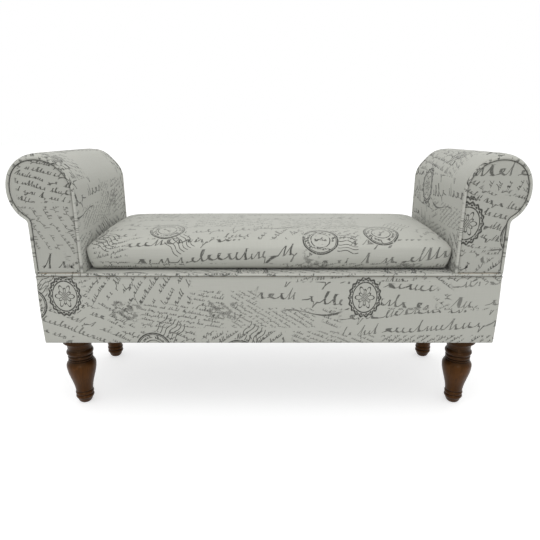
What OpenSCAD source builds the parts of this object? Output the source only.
// Upholstered storage bench with two scroll arms, a lift-up padded lid and turned legs.
// X runs along the seat, Y from front to back, Z up. The origin is on the floor under the middle.

/* [Overall size] */
// Width over the piping of the two scrolls
overall_w = 1020; // [920:10:1200]
// Depth over the fabric, front to back
overall_d = 332; // [310:2:420]
// Height of the legs
leg_h = 168; // [130:2:200]
// Height of the covered box
base_h = 152; // [145:1:200]
// Height of the arms above the box
arm_h = 233; // [205:1:280]

/* [Scroll arms] */
// Thickness of the upright part of an arm
arm_wall = 97; // [88:1:107]
// Radius of the scroll
roll_r = 64.5; // [58:0.5:71]
// Radius of the hollow under the scroll
arm_fillet_r = 14; // [8:1:20]
// Thickness of the padding wrapped round an arm
arm_pad_t = 5; // [3:0.5:8]
// Thickness of the card that carries the padding
arm_card_t = 2; // [1.5:0.25:3]
// Thickness of the covered panel on an arm's end
facing_t = 5; // [4:0.5:8]
// Height and width of the rails inside an arm
arm_rail = 18; // [14:1:22]
// Radius of the piping
piping_r = 3; // [2.5:0.25:3.5]

/* [Box] */
// Thickness of the box panels
board_t = 15; // [12:1:18]
// Thickness of the floor panel
floor_t = 12; // [9:1:15]
// Thickness of the fabric
fabric_t = 1.2; // [0.8:0.1:1.6]
// Thickness of the wadding on the panels
wadding_t = 3.8; // [2.8:0.2:5]
// Radius of the box's upright corners
box_corner_r = 6; // [5:0.5:9]
// Width of the fabric turned under the box and the lid
turn_w = 25; // [15:1:30]
// Width of the ledge at each end that the lid rests over
end_ledge = 30; // [28:1:60]
// Width of the rim in front of the storage well
rim_w = 54; // [48:1:70]
// Height of the batten that takes the hinge screws
batten_h = 40; // [30:1:50]
// Room beside the batten in which a lid stay swings
stay_pocket = 24; // [23:1:34]
// Width and length of the blocks over the legs
block_w = 62; // [50:1:64]
// Height of the blocks over the legs
block_h = 40; // [25:1:60]

/* [Lid] */
// Setback of the lid's front edge from the face of the box
lid_setback = 34; // [26:1:38]
// Setback of the lid's back edge from the back of the box
lid_back_setback = 6; // [4:0.5:10]
// Gap between the cushion's widest line and each arm
lid_end_gap = 1.5; // [1.5:0.5:4]
// Thickness of the lid's board
lid_board_t = 12; // [9:1:15]
// Height of the cushion's sides
lid_side_h = 44; // [34:1:60]
// Height of the rounding over the sides
lid_round_h = 12; // [8:1:18]
// Reach of the rounding in from the sides
lid_round_w = 26; // [18:1:34]
// Rise of the crown above the rounding
lid_crown_h = 20; // [10:1:26]
// Draw-in of the ends at the bottom
lid_end_tuck = 8; // [4:0.5:12]
// Draw-in of the front and back at the bottom
lid_front_tuck = 3; // [2:0.5:6]
// Radius of the cushion's corners, seen from above
lid_corner_r = 16; // [10:1:24]

/* [Hinges] */
// Length of a hinge
hinge_l = 60; // [50:1:90]
// Width of one hinge leaf
hinge_leaf_w = 26; // [22:1:30]
// Thickness of the leaves
hinge_t = 1.5; // [1.2:0.1:2]
// Outer radius of the hinge barrel
hinge_barrel_r = 3.2; // [3:0.1:4]
// Radius of the hinge pin
hinge_pin_r = 1.5; // [1.2:0.1:1.8]
// Distance of a hinge's middle from the end of the well
hinge_inset = 130; // [80:5:180]

/* [Lid stays] */
// Reach of the lid pivot in front of the hinge axis
stay_lid_reach = 100; // [90:1:120]
// Drop of the lid pivot below the hinge axis
stay_lid_drop = 9; // [9:0.5:10]
// Reach of the box pivot in front of the hinge axis
stay_box_reach = 37; // [37:0.5:42]
// Height of the box pivot above the floor of the well
stay_box_rise = 27.5; // [27:0.5:34]
// Width of the flat links
stay_link_w = 14; // [12:0.5:14]
// Thickness of the links and brackets
stay_t = 1.5; // [1.2:0.1:1.5]
// Radius of the rivets
stay_rivet_r = 2.5; // [2:0.25:3]

/* [Legs] */
// Distance of a leg's axis from the end of the box
leg_inset_x = 50.5; // [44:0.5:54]
// Distance of a leg's axis from the front or back
leg_inset_y = 50; // [44:1:54]
// Radius of the cap under the box
leg_cap_r = 36; // [32:0.5:40]
// Radius of the waist between the beads
leg_waist_r = 27.4; // [24:0.2:29]
// Largest radius of the vase
leg_vase_r = 33.3; // [31:0.1:36]
// Radius at the bottom of the vase
leg_ankle_r = 19.6; // [17:0.2:22]
// Radius of the foot on the floor
leg_foot_r = 15; // [12:0.5:17]
// Radius of the bolt that holds a leg
leg_bolt_r = 4; // [3:0.5:5]

/* [Hidden] */
$fn = 64;

// Overrun of a cut past the face that it opens
cut = 1;
// Radial clearance of bolts and screws in their holes
hole_clearance = 0.1;
// Radial clearance of a pin that turns in its hole
running_clearance = 0.05;
// Seating gap between soft pieces
soft_gap = 0.3;

// Heights of the box
base_top = leg_h + base_h;
panel_bottom = leg_h + fabric_t;
panel_top = base_top - fabric_t;
floor_top = panel_bottom + floor_t;

// Half sizes of the arms and the box; the arms' piping stands this far proud of their sleeves
arm_piping_out = piping_r / 3;
half_d = overall_d / 2;
roll_x = overall_w / 2 - arm_piping_out - roll_r;
roll_z = base_top + arm_h - roll_r;
arm_inner = roll_x - roll_r;
arm_outer = arm_inner + arm_wall;
half_w = arm_outer;
panel_x = half_w - fabric_t - wadding_t;
panel_y = half_d - fabric_t - wadding_t;
inner_x = panel_x - board_t;
inner_y = panel_y - board_t;

// Storage well
well_x = arm_inner - end_ledge;
well_front = -half_d + rim_w;
batten_x = well_x - stay_pocket;
batten_y = inner_y - board_t;
deck_bottom = panel_top - board_t;

// Piping round the top of the box: its middle line lies this far inside the faces
piping_in = piping_r / 3;
piping_y = half_d - piping_in;
piping_x = half_w - piping_in;
piping_corner_r = 2 * piping_r;
piping_bottom = base_top - piping_r;
// Free edge that the fabric keeps beside the piping
piping_room = piping_r + soft_gap;

// Arms: layers from the outside in, and the setback of the piping and of the covered panel
arm_piping_in = piping_r - arm_piping_out;
facing_in = arm_piping_in + piping_r;
arm_soft_t = fabric_t + arm_pad_t;
arm_board_in = arm_soft_t + arm_card_t;
arm_end_y = half_d - facing_t;
arm_front_bottom = base_top + piping_room;
fillet_x = arm_outer + arm_fillet_r;
fillet_reach = roll_r + arm_fillet_r;
fillet_z = roll_z - sqrt(pow(fillet_reach, 2) - pow(fillet_x - roll_x, 2));
fillet_angle = atan2(fillet_z - roll_z, fillet_x - roll_x);
arm_mid_x = (arm_inner + arm_outer) / 2;

// Bolts up through the deck into each arm
arm_bolt_r = piping_r;
arm_bolt_y = half_d * 0.55;
arm_bolt_head_r = arm_bolt_r * 1.8;
arm_bolt_head_h = arm_bolt_r * 1.3;

// Hinge axis, on the middle plane between the two leaves
hinge_play = 0.5;
lid_gap = 2 * hinge_t + hinge_play;
hinge_z = base_top + lid_gap / 2;
hinge_y = half_d + hinge_barrel_r + hinge_play;
hinge_x = well_x - hinge_inset;
hinge_edge_y = hinge_y - hinge_barrel_r - soft_gap;
hinge_knuckles = 5;
hinge_knuckle_gap = 0.3;
hinge_screw_y = inner_y + board_t / 3;
hinge_screw_pitch = hinge_l / 3;
screw_r = hinge_t * 1.1;
screw_head_r = screw_r + hinge_t;
hinge_screw_l = lid_board_t * 0.8;

// Lid, from its underside up
lid_bottom = base_top + lid_gap;
lid_x = arm_inner - lid_end_gap;
lid_front = -half_d + lid_setback - lid_front_tuck;
lid_back = half_d - lid_back_setback + lid_front_tuck;
lid_half_d = (lid_back - lid_front) / 2;
lid_mid_y = (lid_back + lid_front) / 2;
lid_board_bottom = lid_bottom + fabric_t;
lid_board_top = lid_board_bottom + lid_board_t;
lid_wrap = 2 * fabric_t;
lid_board_x = lid_x - lid_end_tuck - lid_wrap;
lid_board_y = lid_half_d - lid_front_tuck - lid_wrap;

// Lid stays: four planes side by side, counted in from the wall of the well
stay_gap = 0.4;
stay_head_r = 2 * stay_rivet_r;
stay_head_t = stay_t * 2 / 3;
stay_open_clearance = 0.2;
function stay_plane(k) = well_x - fabric_t - (k + 1) * stay_t - k * stay_gap;
// Pivots as [y, z]: on the lid, on the box, and the knee that completes the parallelogram
lid_pivot = [hinge_y - stay_lid_reach, hinge_z - stay_lid_drop];
box_pivot = [hinge_y - stay_box_reach, floor_top + stay_box_rise];
knee = [lid_pivot[0] - stay_box_reach, box_pivot[1] - stay_lid_drop];
stay_foot_w = stay_link_w * 1.4;
stay_flange_w = stay_link_w;
stay_flange_l = 3 * stay_link_w;
stay_screw_pitch = 1.8 * stay_link_w;
stay_screw_l = lid_board_t * 0.8;

// Legs
leg_x = half_w - leg_inset_x;
leg_y = half_d - leg_inset_y;
leg_bolt_in = leg_h / 4;
washer_r = 2.4 * leg_bolt_r;
washer_t = 0.4 * leg_bolt_r;
nut_r = 1.9 * leg_bolt_r;
nut_h = 1.6 * leg_bolt_r;
block_bottom = floor_top;
block_top = block_bottom + block_h;
leg_bolt_top = block_top + washer_t + nut_h + leg_bolt_r;

// Heights of the turned features, as shares of the leg's height
foot_top_share = 0.068;
ring_share = 0.122;
ankle_share = 0.178;
vase_share = 0.185;
belly_share = 0.542;
shoulder_share = 0.64;
collar_share = 0.667;
small_bead_share = 0.714;
large_bead_share = 0.798;
flare_share = 0.821;
cap_share = 0.905;
cap_edge_share = 0.985;

// Rows of the arms' piping over the scroll and through the hollow, and the sides of its cord
arc_rows = 28;
fillet_rows = 5;
tube_sides = 10;

// Cushion: how far up its side and how far drawn in each row lies
side_rise_shares = [0, 0.18, 0.45, 0.72, 1];
side_tuck_shares = [1, 0.5, 0.12, 0, 0.08];
// How far in to the middle line each row of the crown lies
crown_in_shares = [0.1, 0.24, 0.45, 0.7, 0.97];
// How flat the crown is along the bench and across it: a higher power is flatter in the middle
crown_powers = [12, 4];
// Rows of the rounding, and steps round a corner, along the front and along an end
round_rows = 3;
arc_steps = 5;
long_steps = 7;
short_steps = 3;

// Colours
linen = "#d9d8cf";
walnut = "#3d2415";
timber = "#c9a777";
steel = "#a9abad";
card = "#a88d64";
foam = "#e7dcae";
black_cloth = "#2b2b2d";
white_wadding = "#efefea";

// A box between two corners
module slab(low, high) {
    translate(low) cube(high - low);
}

// The same piece at both ends of the bench
module both_ends() {
    children();
    mirror([1, 0, 0]) children();
}

// The same piece at all four corners
module four_corners() {
    both_ends() {
        children();
        mirror([0, 1, 0]) children();
    }
}

// Rectangle with round corners, given by its half sizes
module round_rect(x, y, r) {
    square([2 * x, 2 * (y - r)], center = true);
    square([2 * (x - r), 2 * y], center = true);
    for (i = [-1, 1], j = [-1, 1]) translate([i * (x - r), j * (y - r)]) circle(r);
}

// Box: panels, floor, well and decks

module end_panel() {
    color(timber) slab([inner_x, -inner_y, panel_bottom], [panel_x, inner_y, panel_top]);
}

module long_panel() {
    color(timber) slab([-panel_x, inner_y, panel_bottom], [panel_x, panel_y, panel_top]);
}

// Pilot holes of the hinge screws, from the rim down
module hinge_pilots() {
    hinge_screw_places() translate([0, 0, panel_top - hinge_screw_l])
        cylinder(r = screw_r + hole_clearance, h = hinge_screw_l + fabric_t + cut);
}

module back_panel() {
    difference() {
        long_panel();
        hinge_pilots();
    }
}

module base_floor() {
    color(timber) difference() {
        slab([-inner_x, -inner_y, panel_bottom], [inner_x, inner_y, floor_top]);
        leg_bolt_holes();
    }
}

// Holes of the leg bolts through the floor and the blocks
module leg_bolt_holes() {
    four_corners() translate([leg_x, leg_y, leg_h - cut])
        cylinder(r = leg_bolt_r + hole_clearance, h = block_top - leg_h + 2 * cut);
}

module well_side() {
    color(timber) difference() {
        slab([well_x, -inner_y, floor_top], [well_x + board_t, inner_y, deck_bottom]);
        box_bracket_screw_places()
            cylinder(r = screw_r + hole_clearance, h = 2 * board_t, center = true);
    }
}

module deck() {
    color(timber) difference() {
        slab([well_x, -inner_y, deck_bottom], [inner_x, inner_y, panel_top]);
        arm_bolt_places() translate([0, 0, deck_bottom - cut])
            cylinder(r = arm_bolt_r + hole_clearance, h = board_t + 2 * cut);
    }
}

module front_rail() {
    color(timber) slab([-well_x, -inner_y, deck_bottom], [well_x, well_front, panel_top]);
}

module hinge_batten() {
    color(timber) slab([-batten_x, batten_y, panel_top - batten_h],
        [batten_x, inner_y, panel_top]);
}

module corner_blocks() {
    color(timber) difference() {
        four_corners() slab([inner_x - block_w, inner_y - block_w, block_bottom],
            [inner_x, inner_y, block_top]);
        leg_bolt_holes();
    }
}

// Box: wadding, fabric and piping

module base_wadding() {
    color(white_wadding) translate([0, 0, panel_bottom])
        linear_extrude(piping_bottom - panel_bottom - soft_gap) difference() {
            round_rect(half_w - fabric_t, half_d - fabric_t, box_corner_r - fabric_t);
            square([2 * panel_x, 2 * panel_y], center = true);
        }
}

module base_band() {
    color(linen) difference() {
        translate([0, 0, leg_h]) linear_extrude(piping_bottom - leg_h)
            round_rect(half_w, half_d, box_corner_r);
        translate([0, 0, panel_bottom]) linear_extrude(base_h)
            round_rect(half_w - fabric_t, half_d - fabric_t, box_corner_r - fabric_t);
        slab([-half_w + turn_w, -half_d + turn_w, leg_h - cut],
            [half_w - turn_w, half_d - turn_w, panel_bottom + cut]);
        leg_bolt_holes();
    }
}

// Fabric over the rim and the decks, turned down inside the well at the front and the ends
module base_top_cover() {
    color(linen) difference() {
        union() {
            slab([-half_w + piping_in + piping_room, -half_d + piping_in + piping_room, panel_top],
                [half_w - piping_in - piping_room, half_d - piping_in - piping_room, base_top]);
            slab([-well_x, well_front, deck_bottom], [well_x, inner_y, base_top]);
        }
        slab([-well_x + fabric_t, well_front + fabric_t, deck_bottom - cut],
            [well_x - fabric_t, batten_y, base_top + cut]);
        slab([-well_x + fabric_t, well_front + fabric_t, deck_bottom - cut],
            [well_x - fabric_t, inner_y + cut, panel_top]);
        both_ends() slab([batten_x, well_front + fabric_t, deck_bottom - cut],
            [well_x - fabric_t, inner_y, base_top + cut]);
        arm_bolt_places() translate([0, 0, panel_top - cut])
            cylinder(r = arm_bolt_r + hole_clearance, h = fabric_t + 2 * cut);
        hinge_pilots();
    }
}

// Round bar along X, with its middle at the place given
module bar_x(l, r) {
    rotate([0, 90, 0]) cylinder(r = r, h = l, center = true);
}

module bar_y(l, r) {
    rotate([90, 0, 0]) cylinder(r = r, h = l, center = true);
}

// Piping round the top of the box, cut away at the two hinges
module base_piping() {
    run_x = piping_x - piping_corner_r;
    run_y = piping_y - piping_corner_r;
    color(linen) difference() {
        translate([0, 0, base_top]) {
            for (s = [-1, 1]) {
                translate([0, s * piping_y, 0]) bar_x(2 * run_x, piping_r);
                translate([s * piping_x, 0, 0]) bar_y(2 * run_y, piping_r);
            }
            four_corners() translate([run_x, run_y, 0]) rotate_extrude(angle = 90)
                translate([piping_corner_r, 0]) circle(piping_r);
        }
        hinge_places() slab([-hinge_l / 2 - soft_gap, -hinge_leaf_w, -lid_gap - piping_r],
            [hinge_l / 2 + soft_gap, piping_r, piping_r]);
    }
}

module well_lining() {
    color(black_cloth) difference() {
        slab([-well_x, -inner_y, floor_top], [well_x, inner_y, panel_top - batten_h]);
        slab([-well_x + fabric_t, -inner_y + fabric_t, floor_top + fabric_t],
            [well_x - fabric_t, inner_y - fabric_t, base_top]);
        both_ends() box_bracket_screw_places()
            cylinder(r = screw_r + hole_clearance, h = 2 * board_t, center = true);
    }
}

module dust_cover() {
    reach = turn_w + soft_gap;
    color(black_cloth) difference() {
        slab([-half_w + reach, -half_d + reach, leg_h], [half_w - reach, half_d - reach,
            panel_bottom]);
        leg_bolt_holes();
    }
}

// Turned legs

// Half-round bead between two heights that swells out of a radius
function bead(low, high, r, swell, steps = 8) =
    [for (i = [0:steps]) [r + swell * sin(180 * i / steps), low + (high - low) * i / steps]];

// Foot, two rings, vase, shoulder, collar, two beads, flare and cap, from the floor up
function leg_outline() = concat(
    [for (i = [0:4]) [leg_foot_r + (leg_ankle_r - leg_foot_r) * sin(22.5 * i),
        leg_h * foot_top_share * (1 - cos(22.5 * i))]],
    bead(leg_h * foot_top_share, leg_h * ring_share, leg_ankle_r, leg_ankle_r * 0.1),
    bead(leg_h * ring_share, leg_h * ankle_share, leg_ankle_r, leg_ankle_r * 0.1),
    [for (i = [0:12]) [
        leg_ankle_r * 1.03 + (leg_vase_r - leg_ankle_r * 1.03) * sin(90 * pow(i / 12, 1.3)),
        leg_h * (vase_share + (belly_share - vase_share) * i / 12)]],
    [for (i = [1:6]) [leg_waist_r * 1.02 + (leg_vase_r - leg_waist_r * 1.02) * cos(15 * i),
        leg_h * (belly_share + (shoulder_share - belly_share) * i / 6)]],
    bead(leg_h * shoulder_share, leg_h * collar_share, leg_waist_r, leg_waist_r * 0.04, 4),
    bead(leg_h * collar_share, leg_h * small_bead_share, leg_waist_r, leg_waist_r * 0.07),
    bead(leg_h * small_bead_share, leg_h * large_bead_share, leg_waist_r, leg_waist_r * 0.09),
    [for (i = [0:6]) [leg_cap_r - (leg_cap_r - leg_waist_r) * cos(15 * i),
        leg_h * (flare_share + (cap_share - flare_share) * sin(15 * i))]],
    [[leg_cap_r, leg_h * cap_edge_share], [leg_cap_r - leg_h * (1 - cap_edge_share), leg_h]]
);

module leg_body() {
    color(walnut) difference() {
        rotate_extrude() polygon(concat([[0, 0]], leg_outline(), [[0, leg_h]]));
        translate([0, 0, leg_h - leg_bolt_in]) cylinder(r = leg_bolt_r + hole_clearance,
            h = leg_bolt_in + cut);
    }
}

module leg_bolts() {
    color(steel) four_corners() translate([leg_x, leg_y, leg_h - leg_bolt_in + soft_gap])
        cylinder(r = leg_bolt_r, h = leg_bolt_top - leg_h + leg_bolt_in - soft_gap);
}

module leg_washers() {
    color(steel) four_corners() translate([leg_x, leg_y, block_top]) difference() {
        cylinder(r = washer_r, h = washer_t);
        translate([0, 0, -cut]) cylinder(r = leg_bolt_r + hole_clearance, h = washer_t + 2 * cut);
    }
}

module leg_nuts() {
    color(steel) four_corners() translate([leg_x, leg_y, block_top + washer_t]) difference() {
        cylinder(r = nut_r, h = nut_h, $fn = 6);
        translate([0, 0, -cut]) cylinder(r = leg_bolt_r + running_clearance,
            h = nut_h + 2 * cut);
    }
}

// Scroll arms: all drawn at the right end and mirrored for the left

// Outline of an arm seen from the front, drawn in by a wall's thickness
module arm_outline(inset, bottom) {
    wall_x = arm_outer - inset;
    r = roll_r - inset;
    translate([roll_x, roll_z]) circle(r);
    translate([arm_inner + inset, bottom]) square([arm_wall - 2 * inset, roll_z - bottom]);
    difference() {
        polygon([[roll_x, roll_z], [wall_x, fillet_z],
            [roll_x + r * cos(fillet_angle), roll_z + r * sin(fillet_angle)]]);
        translate([fillet_x, fillet_z]) circle(arm_fillet_r + inset);
    }
}

// A layer that wraps the arm over its whole depth, open at the bottom
module arm_wrap(from, to) {
    difference() {
        translate([0, arm_end_y, 0]) rotate([90, 0, 0]) linear_extrude(2 * arm_end_y) difference() {
            arm_outline(from, base_top);
            arm_outline(to, base_top - cut);
        }
        slab([half_w - piping_in - piping_room, -half_d, base_top - cut],
            [overall_w, half_d, arm_front_bottom]);
    }
}

// A plate of the arm's outline, from one depth back to another
module arm_plate(inset, bottom, front, back) {
    translate([0, back, 0]) rotate([90, 0, 0]) linear_extrude(back - front)
        arm_outline(inset, bottom);
}

module arm_boards() {
    color(timber) difference() {
        for (y = [-arm_end_y, arm_end_y - board_t])
            arm_plate(arm_board_in, base_top, y, y + board_t);
        slab([half_w - piping_in - piping_room, -half_d, base_top - cut],
            [overall_w, half_d, arm_front_bottom]);
    }
}

// Foot rail, two wall rails and two rails inside the scroll
module arm_rails() {
    r = roll_r - arm_board_in - soft_gap;
    flat = sqrt(pow(r, 2) - pow(arm_rail, 2));
    low = [arm_inner + arm_board_in, arm_outer - arm_board_in];
    run = arm_end_y - board_t;
    mid_z = (base_top + roll_z) / 2;
    color(timber) difference() {
        union() {
            slab([low[0], -run, base_top], [low[1], run, base_top + arm_rail]);
            slab([low[0], -run, mid_z], [low[0] + arm_rail, run, mid_z + 2 * arm_rail]);
            slab([low[1] - arm_rail, -run, mid_z], [low[1], run, mid_z + arm_rail]);
            slab([roll_x - arm_rail, -run, roll_z + flat - arm_rail],
                [roll_x + arm_rail, run, roll_z + flat]);
            slab([roll_x + flat - arm_rail, -run, roll_z - arm_rail],
                [roll_x + flat, run, roll_z + arm_rail]);
        }
        arm_bolt_places() translate([0, 0, base_top - cut])
            cylinder(r = arm_bolt_r + hole_clearance, h = arm_rail + 2 * cut);
    }
}

module arm_card() {
    color(card) arm_wrap(arm_soft_t, arm_board_in);
}

module arm_padding() {
    color(white_wadding) arm_wrap(fabric_t, arm_soft_t);
}

module arm_sleeve() {
    color(linen) arm_wrap(0, fabric_t);
}

module arm_facing() {
    color(linen) arm_plate(facing_in, arm_front_bottom, -half_d, -arm_end_y);
}

// Route of the piping round a facing as [x, z, angle of its outward side]: up the inner side,
// over the scroll, through the hollow under it and down the outer side
function arm_piping_route() =
    let (r = roll_r - arm_piping_in, hollow_r = arm_fillet_r + arm_piping_in)
    concat(
        [[arm_inner + arm_piping_in, arm_front_bottom, 180]],
        [for (i = [0:arc_rows]) let (a = 180 - (180 - fillet_angle) * i / arc_rows)
            [roll_x + r * cos(a), roll_z + r * sin(a), a]],
        [for (i = [1:fillet_rows]) let (a = fillet_angle * (1 - i / fillet_rows))
            [fillet_x - hollow_r * cos(a), fillet_z - hollow_r * sin(a), a]],
        [[arm_outer - arm_piping_in, arm_front_bottom, 0]]
    );

module arm_piping() {
    y = -arm_end_y - piping_r;
    route = arm_piping_route();
    last = route[len(route) - 1];
    color(linen) skin([for (p = route) [for (i = [0:tube_sides - 1])
        let (a = 360 * i / tube_sides, out = piping_r * cos(a))
        [p[0] + out * cos(p[2]), y + piping_r * sin(a), p[1] + out * sin(p[2])]]],
        [route[0][0], y, route[0][1]], [last[0], y, last[1]]);
}

module arm_bolt_places() {
    for (s = [-1, 1]) translate([arm_mid_x, s * arm_bolt_y, 0]) children();
    for (s = [-1, 1]) translate([-arm_mid_x, s * arm_bolt_y, 0]) children();
}

module arm_bolts() {
    color(steel) arm_bolt_places() translate([0, 0, deck_bottom]) {
        translate([0, 0, -arm_bolt_head_h]) cylinder(r = arm_bolt_head_r, h = arm_bolt_head_h,
            $fn = 6);
        cylinder(r = arm_bolt_r, h = base_top + arm_rail - deck_bottom - soft_gap);
    }
}

// Hinges

module hinge_places() {
    for (s = [-1, 1]) translate([s * hinge_x, hinge_y, hinge_z]) children();
}

module hinge_screw_places() {
    for (s = [-1, 1], i = [-1:1])
        translate([s * hinge_x + i * hinge_screw_pitch, hinge_screw_y, 0]) children();
}

// One leaf with the knuckles of its turn; odd is 1 for the lid's leaf
module hinge_leaf(odd) {
    pitch = hinge_l / hinge_knuckles;
    side = odd == 1 ? 1 : -1;
    near = side * hinge_play / 2;
    far = side * lid_gap / 2;
    back = hinge_edge_y - hinge_y;
    difference() {
        union() {
            slab([-hinge_l / 2, back - hinge_leaf_w, min(near, far)],
                [hinge_l / 2, back, max(near, far)]);
            for (i = [odd:2:hinge_knuckles - 1]) {
                low = -hinge_l / 2 + i * pitch + hinge_knuckle_gap / 2;
                slab([low, back, min(near, far)], [low + pitch - hinge_knuckle_gap, 0,
                    max(near, far)]);
                translate([low + (pitch - hinge_knuckle_gap) / 2, 0, 0])
                    bar_x(pitch - hinge_knuckle_gap, hinge_barrel_r);
            }
        }
        bar_x(hinge_l + 2 * cut, hinge_pin_r + running_clearance);
        for (i = [-1:1]) translate([i * hinge_screw_pitch, hinge_screw_y - hinge_y, near])
            mirror([0, 0, odd]) translate([0, 0, -hinge_t])
                cylinder(r1 = screw_r + hole_clearance, r2 = screw_head_r + hole_clearance,
                    h = hinge_t);
    }
}

module hinge_pins() {
    color(steel) hinge_places() bar_x(hinge_l, hinge_pin_r);
}

// Countersunk screw with its head's face at the origin, pointing down
module leaf_screw() {
    translate([0, 0, -hinge_t]) cylinder(r1 = screw_r, r2 = screw_head_r, h = hinge_t);
    translate([0, 0, -hinge_t - hinge_screw_l]) cylinder(r = screw_r, h = hinge_screw_l);
}

module hinge_base_screws() {
    color(steel) hinge_screw_places() translate([0, 0, hinge_z - hinge_play / 2]) leaf_screw();
}

module hinge_lid_screws() {
    color(steel) hinge_screw_places() translate([0, 0, hinge_z + hinge_play / 2])
        mirror([0, 0, 1]) leaf_screw();
}

// Lid stays: flat links drawn in the plane of Y and Z

// Extrudes a side outline across a plane of the right-hand stay
module stay_sheet(k) {
    translate([stay_plane(k), 0, 0]) rotate([90, 0, 90]) linear_extrude(stay_t) children();
}

// Flat bar with round ends between two pivots
module link_outline(a, b) {
    along = (b - a) / norm(b - a);
    across = [-along[1], along[0]] * stay_link_w / 2;
    polygon(concat(
        [for (i = [0:12]) b + across * cos(15 * i) + along * sin(15 * i) * stay_link_w / 2],
        [for (i = [0:12]) a - across * cos(15 * i) - along * sin(15 * i) * stay_link_w / 2]
    ));
}

// Rivet along X at a pivot: shank between two depths and a head past one or both
module rivet(pivot, low, high, head_low, head_high) {
    translate([low, pivot[0], pivot[1]]) rotate([0, 90, 0]) {
        cylinder(r = stay_rivet_r, h = high - low);
        if (head_low) translate([0, 0, -stay_head_t]) cylinder(r = stay_head_r, h = stay_head_t);
        if (head_high) translate([0, 0, high - low]) cylinder(r = stay_head_r, h = stay_head_t);
    }
}

module box_bracket_screw_places() {
    for (s = [-1, 1]) translate([well_x, box_pivot[0] + s * stay_foot_w / 4,
        box_pivot[1] - stay_link_w]) rotate([0, 90, 0]) children();
}

module box_bracket() {
    screw_z = stay_plane(0) - well_x;
    difference() {
        stay_sheet(0) translate([box_pivot[0], box_pivot[1] - stay_link_w / 2])
            round_rect(stay_foot_w / 2, stay_link_w, stay_link_w / 4);
        box_bracket_screw_places()
            cylinder(r = screw_r + hole_clearance, h = 2 * board_t, center = true);
    }
    rivet(box_pivot, stay_plane(1) - stay_gap / 2, stay_plane(0), true, false);
    box_bracket_screw_places() translate([0, 0, screw_z - stay_head_t])
        box_screw();
}

// Pan-head screw, head first
module box_screw() {
    cylinder(r = 2 * screw_r, h = stay_head_t);
    cylinder(r = screw_r, h = board_t * 0.8);
}

module stay_box_brackets() {
    color(steel) both_ends() box_bracket();
}

// The link on the box pivot carries the knee rivet
module lower_link() {
    color(steel) {
        difference() {
            stay_sheet(1) link_outline(box_pivot, knee);
            stay_hole(box_pivot, running_clearance);
        }
        rivet(knee, stay_plane(2) - stay_gap / 2, stay_plane(1) + stay_t, true, true);
    }
}

module upper_link() {
    color(steel) difference() {
        stay_sheet(2) link_outline(knee, lid_pivot);
        stay_hole(knee, running_clearance);
        stay_hole(lid_pivot, stay_open_clearance);
    }
}

module stay_hole(pivot, clearance) {
    translate([well_x, pivot[0], pivot[1]]) bar_x(2 * board_t, stay_rivet_r + clearance);
}

module lid_bracket_screw_places() {
    x = stay_plane(3) + stay_t - stay_flange_w * 0.6;
    for (s = [-1, 1]) translate([x, lid_pivot[0] + s * stay_screw_pitch / 2, lid_bottom])
        children();
}

// Angle under the lid: a flange with two screws, and an ear with the lid rivet
module lid_bracket() {
    ear_x = stay_plane(3);
    difference() {
        union() {
            slab([ear_x + stay_t - stay_flange_w, lid_pivot[0] - stay_flange_l / 2,
                lid_bottom - stay_t], [ear_x + stay_t, lid_pivot[0] + stay_flange_l / 2,
                lid_bottom]);
            stay_sheet(3) {
                translate(lid_pivot) circle(stay_link_w / 2);
                translate([lid_pivot[0] - stay_link_w / 2, lid_pivot[1]])
                    square([stay_link_w, lid_bottom - lid_pivot[1]]);
            }
        }
        lid_bracket_screw_places() translate([0, 0, -stay_t - cut])
            cylinder(r = screw_r + hole_clearance, h = stay_t + 2 * cut);
    }
    rivet(lid_pivot, ear_x, stay_plane(2) + stay_t + stay_gap / 2, true, true);
    lid_bracket_screw_places() translate([0, 0, -stay_t]) {
        translate([0, 0, -stay_head_t]) cylinder(r = 2 * screw_r, h = stay_head_t);
        cylinder(r = screw_r, h = stay_t + stay_screw_l);
    }
}

module stay_lid_brackets() {
    color(steel) both_ends() lid_bracket();
}

// Lid

// Point of a ring with round corners: corner q from 0 to 3, step j of its arc
function ring_corner(x, y, r, q, j) =
    let (a = 90 * (q % 4) + 90 * j / arc_steps,
        sx = (q % 4 == 0 || q % 4 == 3) ? 1 : -1,
        sy = q % 4 < 2 ? 1 : -1)
    [sx * (x - r) + r * cos(a), sy * (y - r) + r * sin(a)];

// Closed ring of points, with steps along its straight sides
function ring(x, y, r) = [for (q = [0:3]) each concat(
    [for (j = [0:arc_steps]) ring_corner(x, y, r, q, j)],
    let (n = q % 2 == 0 ? long_steps : short_steps,
        a = ring_corner(x, y, r, q, arc_steps),
        b = ring_corner(x, y, r, q + 1, 0))
    [for (i = [1:n]) a + (b - a) * i / (n + 1)])];

// Swell of the crown, almost flat over the middle and nothing at the rounding
function crown(x, y, a, b) =
    (1 - pow(min(1, abs(x / a)), crown_powers[0])) * (1 - pow(min(1, abs(y / b)), crown_powers[1]));

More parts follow.
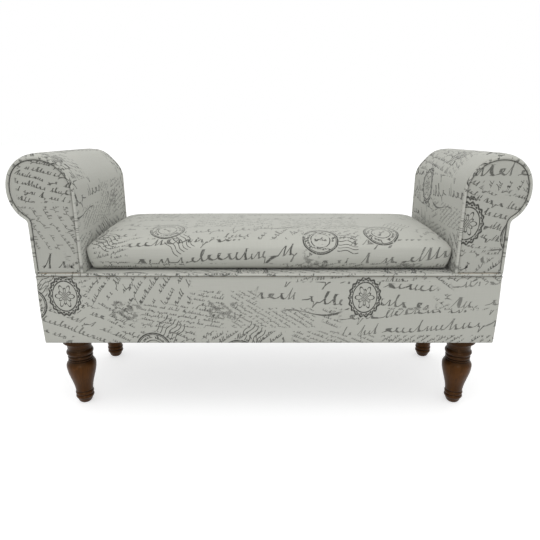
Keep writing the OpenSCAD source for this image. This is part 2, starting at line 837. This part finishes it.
// Rows of the cushion's skin from the underside to the middle line, drawn in by a thickness
function cushion_rows(t) =
    let (x = lid_x - t, y = lid_half_d - t, n = len(side_rise_shares) - 1,
        top_x = x - lid_round_w, top_y = y - lid_round_w, top_z = lid_side_h + lid_round_h - t,
        last_in = lid_front_tuck * side_tuck_shares[n])
    concat(
        [for (i = [0:n]) let (z = t + (lid_side_h - t) * side_rise_shares[i])
            [for (p = ring(x - lid_end_tuck * side_tuck_shares[i],
                y - lid_front_tuck * side_tuck_shares[i], lid_corner_r)) [p[0], p[1], z]]],
        [for (i = [1:round_rows]) let (a = 90 * i / round_rows,
            in = last_in + (lid_round_w - last_in) * (1 - cos(a)),
            z = lid_side_h + (top_z - lid_side_h) * sin(a))
            [for (p = ring(x - in, y - in, lid_corner_r)) [p[0], p[1], z]]],
        [for (s = crown_in_shares) let (in = lid_round_w + top_y * s,
            r = min(lid_corner_r, (y - in) * 0.9))
            [for (p = ring(x - in, y - in, r))
                [p[0], p[1], top_z + lid_crown_h * crown(p[0], p[1], top_x, top_y)]]]
    );

// Closed skin over rows of points: sides, and a fan from a middle point at each end
module skin(rows, low, high) {
    n = len(rows[0]);
    m = len(rows);
    points = concat([low], [for (row = rows) each row], [high]);
    faces = concat(
        [for (i = [0:n - 1]) [0, 1 + i, 1 + (i + 1) % n]],
        [for (k = [0:m - 2], i = [0:n - 1]) let (a = 1 + k * n + i, b = 1 + k * n + (i + 1) % n)
            each [[a, a + n, b], [b, a + n, b + n]]],
        [for (i = [0:n - 1]) [1 + m * n, 1 + (m - 1) * n + (i + 1) % n, 1 + (m - 1) * n + i]]
    );
    polyhedron(points, faces);
}

module cushion(t) {
    rows = cushion_rows(t);
    top = max([for (p = rows[len(rows) - 1]) p[2]]);
    translate([0, lid_mid_y, lid_bottom]) skin(rows, [0, 0, t], [0, 0, top]);
}

module lid_board() {
    color(timber) difference() {
        translate([0, lid_mid_y, lid_board_bottom]) linear_extrude(lid_board_t)
            round_rect(lid_board_x, lid_board_y, lid_corner_r - lid_wrap);
        hinge_screw_places() translate([0, 0, lid_bottom])
            cylinder(r = screw_r + hole_clearance, h = fabric_t + hinge_screw_l);
        both_ends() lid_bracket_screw_places()
            cylinder(r = screw_r + hole_clearance, h = fabric_t + stay_screw_l);
    }
}

module lid_foam() {
    color(foam) difference() {
        cushion(fabric_t + soft_gap);
        slab([-overall_w, -overall_d, lid_bottom - cut], [overall_w, overall_d, lid_board_top]);
    }
}

module lid_cover() {
    turn_x = lid_x - lid_end_tuck - turn_w;
    turn_y = lid_half_d - lid_front_tuck - turn_w;
    color(linen) difference() {
        cushion(0);
        cushion(fabric_t);
        slab([-turn_x, lid_mid_y - turn_y, lid_bottom - cut],
            [turn_x, lid_mid_y + turn_y, lid_board_bottom + cut]);
        hinge_places() slab([-hinge_l / 2, -hinge_leaf_w - hinge_barrel_r, -cut],
            [hinge_l / 2, -lid_back_setback - hinge_barrel_r, lid_gap / 2 + fabric_t + soft_gap]);
    }
}

module lid_lining() {
    reach_x = lid_x - lid_end_tuck - turn_w - soft_gap;
    reach_y = lid_half_d - lid_front_tuck - turn_w - soft_gap;
    color(black_cloth) difference() {
        slab([-reach_x, lid_mid_y - reach_y, lid_bottom],
            [reach_x, lid_mid_y + reach_y, lid_board_bottom]);
        both_ends() lid_bracket_screw_places() translate([0, 0, -cut])
            cylinder(r = screw_r + hole_clearance, h = fabric_t + 2 * cut);
    }
}

// Rubber buttons under the front corners, which rest on the rim
module lid_bumpers() {
    r = turn_w / 4;
    x = well_x - rim_w;
    y = lid_front + lid_front_tuck + turn_w / 2;
    color("#222222") both_ends() translate([x, y, base_top + soft_gap])
        cylinder(r = r, h = lid_gap - soft_gap);
}

mirror([0, 1, 0]) long_panel();  // base_front_panel
back_panel();  // base_back_panel
mirror([1, 0, 0]) end_panel();  // base_left_end
end_panel();  // base_right_end
base_floor();
mirror([1, 0, 0]) well_side();  // well_left_side
well_side();  // well_right_side
mirror([1, 0, 0]) deck();  // left_deck
deck();  // right_deck
front_rail();
hinge_batten();
corner_blocks();
base_wadding();
base_band();
base_top_cover();
base_piping();
well_lining();
dust_cover();
translate([-leg_x, -leg_y, 0]) leg_body();  // leg_front_left
translate([leg_x, -leg_y, 0]) leg_body();  // leg_front_right
translate([-leg_x, leg_y, 0]) leg_body();  // leg_back_left
translate([leg_x, leg_y, 0]) leg_body();  // leg_back_right
leg_bolts();
leg_washers();
leg_nuts();
mirror([1, 0, 0]) arm_boards();  // left_arm_boards
mirror([1, 0, 0]) arm_rails();  // left_arm_rails
mirror([1, 0, 0]) arm_card();  // left_arm_card
mirror([1, 0, 0]) arm_padding();  // left_arm_padding
mirror([1, 0, 0]) arm_sleeve();  // left_arm_sleeve
mirror([1, 0, 0]) arm_facing();  // left_arm_front_facing
mirror([1, 0, 0]) mirror([0, 1, 0]) arm_facing();  // left_arm_back_facing
mirror([1, 0, 0]) arm_piping();  // left_arm_front_piping
mirror([1, 0, 0]) mirror([0, 1, 0]) arm_piping();  // left_arm_back_piping
arm_boards();  // right_arm_boards
arm_rails();  // right_arm_rails
arm_card();  // right_arm_card
arm_padding();  // right_arm_padding
arm_sleeve();  // right_arm_sleeve
arm_facing();  // right_arm_front_facing
mirror([0, 1, 0]) arm_facing();  // right_arm_back_facing
arm_piping();  // right_arm_front_piping
mirror([0, 1, 0]) arm_piping();  // right_arm_back_piping
arm_bolts();
color(steel) hinge_places() hinge_leaf(0);  // hinge_base_leaves
color(steel) hinge_places() hinge_leaf(1);  // hinge_lid_leaves
hinge_pins();
hinge_base_screws();
hinge_lid_screws();
stay_box_brackets();
mirror([1, 0, 0]) lower_link();  // left_stay_lower_link
lower_link();  // right_stay_lower_link
mirror([1, 0, 0]) upper_link();  // left_stay_upper_link
upper_link();  // right_stay_upper_link
stay_lid_brackets();
lid_board();
lid_foam();
lid_cover();
lid_lining();
lid_bumpers();
